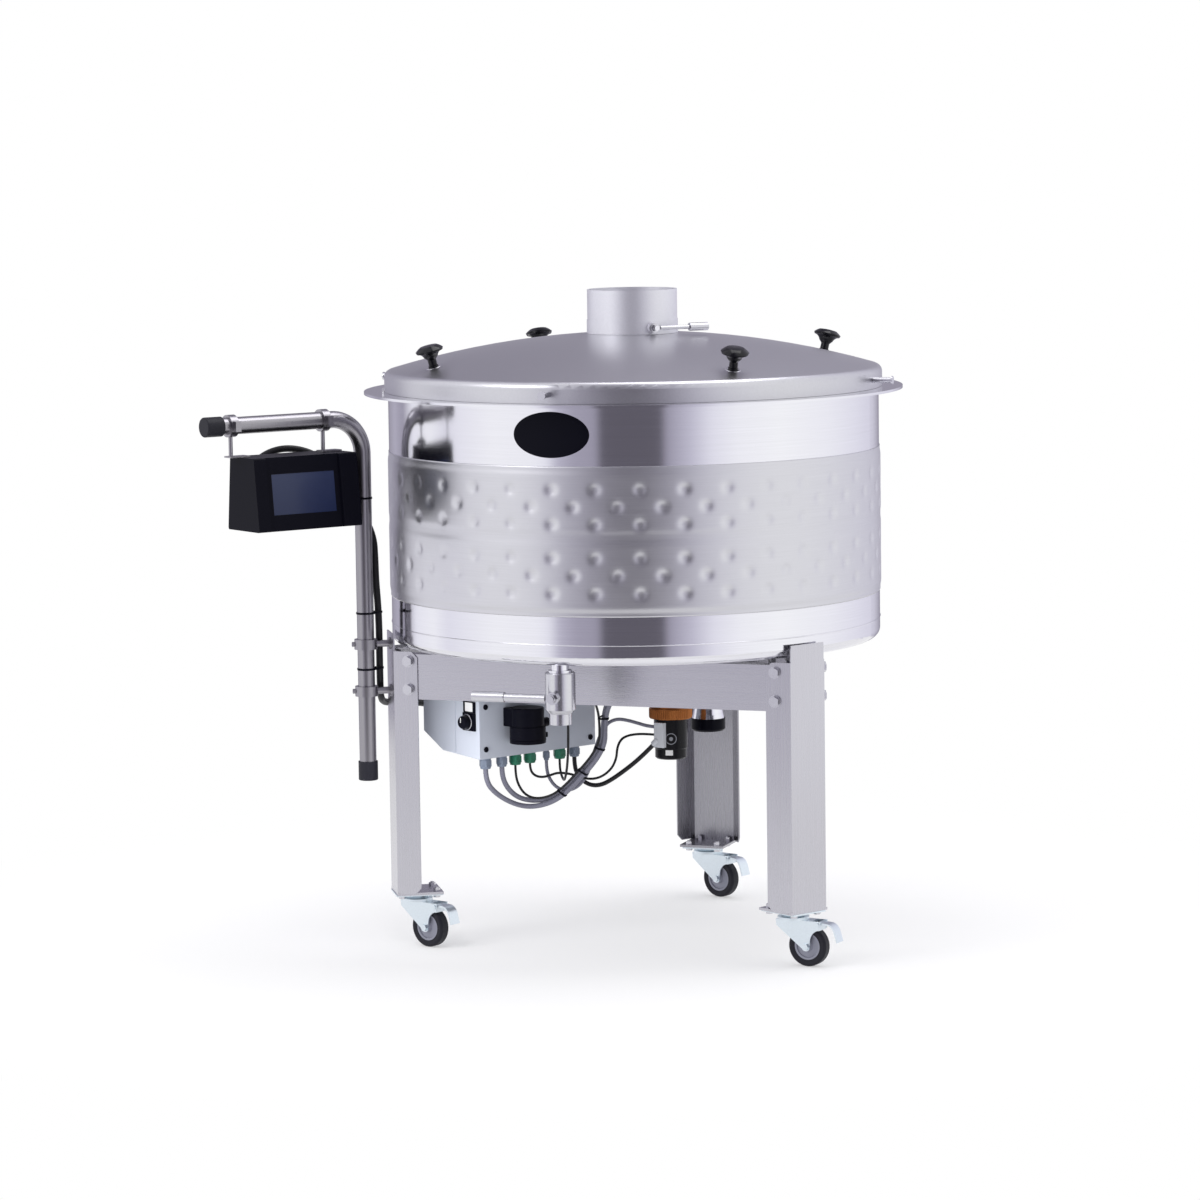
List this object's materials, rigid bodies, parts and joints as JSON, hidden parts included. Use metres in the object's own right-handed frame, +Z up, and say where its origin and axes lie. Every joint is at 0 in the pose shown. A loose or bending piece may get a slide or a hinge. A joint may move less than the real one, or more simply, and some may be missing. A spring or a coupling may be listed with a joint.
{
  "type": "electric brewing system",
  "caption": "Jacketed brewing kettle on a three-legged castor frame, with lift-off hood and flue, swivelling control arm, drain valve and pump.",
  "frame": {"origin": "on the kettle's axis at floor level", "axes": "+Z up, along the kettle and flue axis; -Y towards the drain valve; +X to the right seen from the valve"},
  "size_m": [1.2357, 1.1191, 1.305],
  "materials": {
    "stainless": "satin",
    "jacket": "satin",
    "frame_steel": "satin",
    "tube_steel": "polished",
    "valve_steel": "satin",
    "bolt_steel": "satin",
    "coil_steel": "satin",
    "zinc": "polished",
    "bronze": "satin",
    "black_plastic": "matt",
    "motor_black": "satin",
    "black_rubber": "matt",
    "hub_plastic": "matt",
    "pale_plastic": "satin",
    "grey_plastic": "satin",
    "gland_grey": "satin",
    "gland_green": "satin",
    "screen": "gloss",
    "grey_cable": "satin",
    "black_cable": "satin"
  },
  "bodies": {
    "frame": {"kettle": "stainless", "cooling_jacket": "jacket", "kettle_outlets": "stainless", "valve_body": "valve_steel", "left_leg": "frame_steel", "right_leg": "frame_steel", "rear_leg": "frame_steel", "front_beam": "frame_steel", "right_beam": "frame_steel", "left_beam": "frame_steel", "frame_bolts": "bolt_steel", "kettle_pads": "black_rubber", "castor_plates": "zinc", "tube_clamps": "tube_steel", "electronics_housing": "grey_plastic", "housing_brackets": "frame_steel", "power_inlet": "black_plastic", "switch_base": "black_plastic", "grey_glands": "gland_grey", "green_glands": "gland_green", "grey_cables": "grey_cable", "black_cables": "black_cable", "pump_housing": "bronze", "pump_motor": "motor_black", "pump_terminal_box": "pale_plastic", "pump_pipes": "valve_steel", "cleanout_cap": "black_plastic", "heating_coil": "coil_steel", "malt_pipe": "stainless", "sieve_plates": "stainless", "hold_down": "valve_steel", "temperature_probe": "valve_steel"},
    "hood": {"hood": "stainless", "flue_pipe": "stainless", "hood_knobs": "black_plastic", "hood_pins": "bolt_steel"},
    "damper": {"damper_disc": "stainless", "damper_lever": "valve_steel"},
    "drain_handle": {"valve_ball": "valve_steel", "valve_lever": "valve_steel"},
    "control_arm": {"control_arm": "tube_steel", "arm_end_caps": "black_rubber", "box_hangers": "tube_steel", "control_housing": "black_plastic", "display_screen": "screen", "display_cable_upper": "black_cable"},
    "inlet_lid": {"inlet_lid": "black_plastic"},
    "main_switch": {"main_switch_knob": "black_plastic"},
    "left_castor": {"left_castor_fork": "zinc"},
    "left_wheel": {"left_wheel_hub": "hub_plastic", "left_wheel_tyre": "black_rubber"},
    "left_brake": {"left_brake_pedal": "zinc"},
    "right_castor": {"right_castor_fork": "zinc"},
    "right_wheel": {"right_wheel_hub": "hub_plastic", "right_wheel_tyre": "black_rubber"},
    "right_brake": {"right_brake_pedal": "zinc"},
    "rear_castor": {"rear_castor_fork": "zinc"},
    "rear_wheel": {"rear_wheel_hub": "hub_plastic", "rear_wheel_tyre": "black_rubber"},
    "rear_brake": {"rear_brake_pedal": "zinc"}
  },
  "joints": [
    {"name": "hood_lift", "type": "slide", "parent": "frame", "child": "hood", "axis": [0, 0, 1], "range_m": [0, 0.3]},
    {"name": "damper_turn", "type": "hinge", "parent": "hood", "child": "damper", "pos_m": [0, 0, 1.231], "axis": [0.6947, -0.7193, 0], "range_deg": [0, 90]},
    {"name": "drain_turn", "type": "hinge", "parent": "frame", "child": "drain_handle", "pos_m": [0, -0.456, 0.546], "axis": [0, -1, 0], "range_deg": [0, 90]},
    {"name": "arm_swivel", "type": "hinge", "parent": "frame", "child": "control_arm", "pos_m": [-0.4751, -0.2743, 0.7], "axis": [0, 0, 1], "range_deg": [-90, 40]},
    {"name": "lid_hinge", "type": "hinge", "parent": "frame", "child": "inlet_lid", "pos_m": [-0.14234, -0.16239, 0.424], "axis": [0.866, -0.5, 0], "range_deg": [0, 90]},
    {"name": "switch_turn", "type": "hinge", "parent": "frame", "child": "main_switch", "pos_m": [-0.26711, -0.2445, 0.458], "axis": [0.5, 0.866, 0], "range_deg": [0, 90]},
    {"name": "left_castor_swivel", "type": "hinge", "parent": "frame", "child": "left_castor", "pos_m": [-0.39361, -0.22725, 0.091], "axis": [0, 0, 1], "continuous": true},
    {"name": "left_wheel_roll", "type": "hinge", "parent": "left_castor", "child": "left_wheel", "pos_m": [-0.36166, -0.23888, 0.04], "axis": [0.342, 0.9397, 0], "continuous": true},
    {"name": "left_brake_press", "type": "hinge", "parent": "left_castor", "child": "left_brake", "pos_m": [-0.33911, -0.24709, 0.084], "axis": [-0.342, -0.9397, 0], "range_deg": [0, 22]},
    {"name": "right_castor_swivel", "type": "hinge", "parent": "frame", "child": "right_castor", "pos_m": [0.39361, -0.22725, 0.091], "axis": [0, 0, 1], "continuous": true},
    {"name": "right_wheel_roll", "type": "hinge", "parent": "right_castor", "child": "right_wheel", "pos_m": [0.42719, -0.23257, 0.04], "axis": [0.1564, 0.9877, 0], "continuous": true},
    {"name": "right_brake_press", "type": "hinge", "parent": "right_castor", "child": "right_brake", "pos_m": [0.45089, -0.23632, 0.084], "axis": [-0.1564, -0.9877, 0], "range_deg": [0, 22]},
    {"name": "rear_castor_swivel", "type": "hinge", "parent": "frame", "child": "rear_castor", "pos_m": [0, 0.4545, 0.091], "axis": [0, 0, 1], "continuous": true},
    {"name": "rear_wheel_roll", "type": "hinge", "parent": "rear_castor", "child": "rear_wheel", "pos_m": [0.03195, 0.44287, 0.04], "axis": [0.342, 0.9397, 0], "continuous": true},
    {"name": "rear_brake_press", "type": "hinge", "parent": "rear_castor", "child": "rear_brake", "pos_m": [0.0545, 0.43466, 0.084], "axis": [-0.342, -0.9397, 0], "range_deg": [0, 22]}
  ]
}
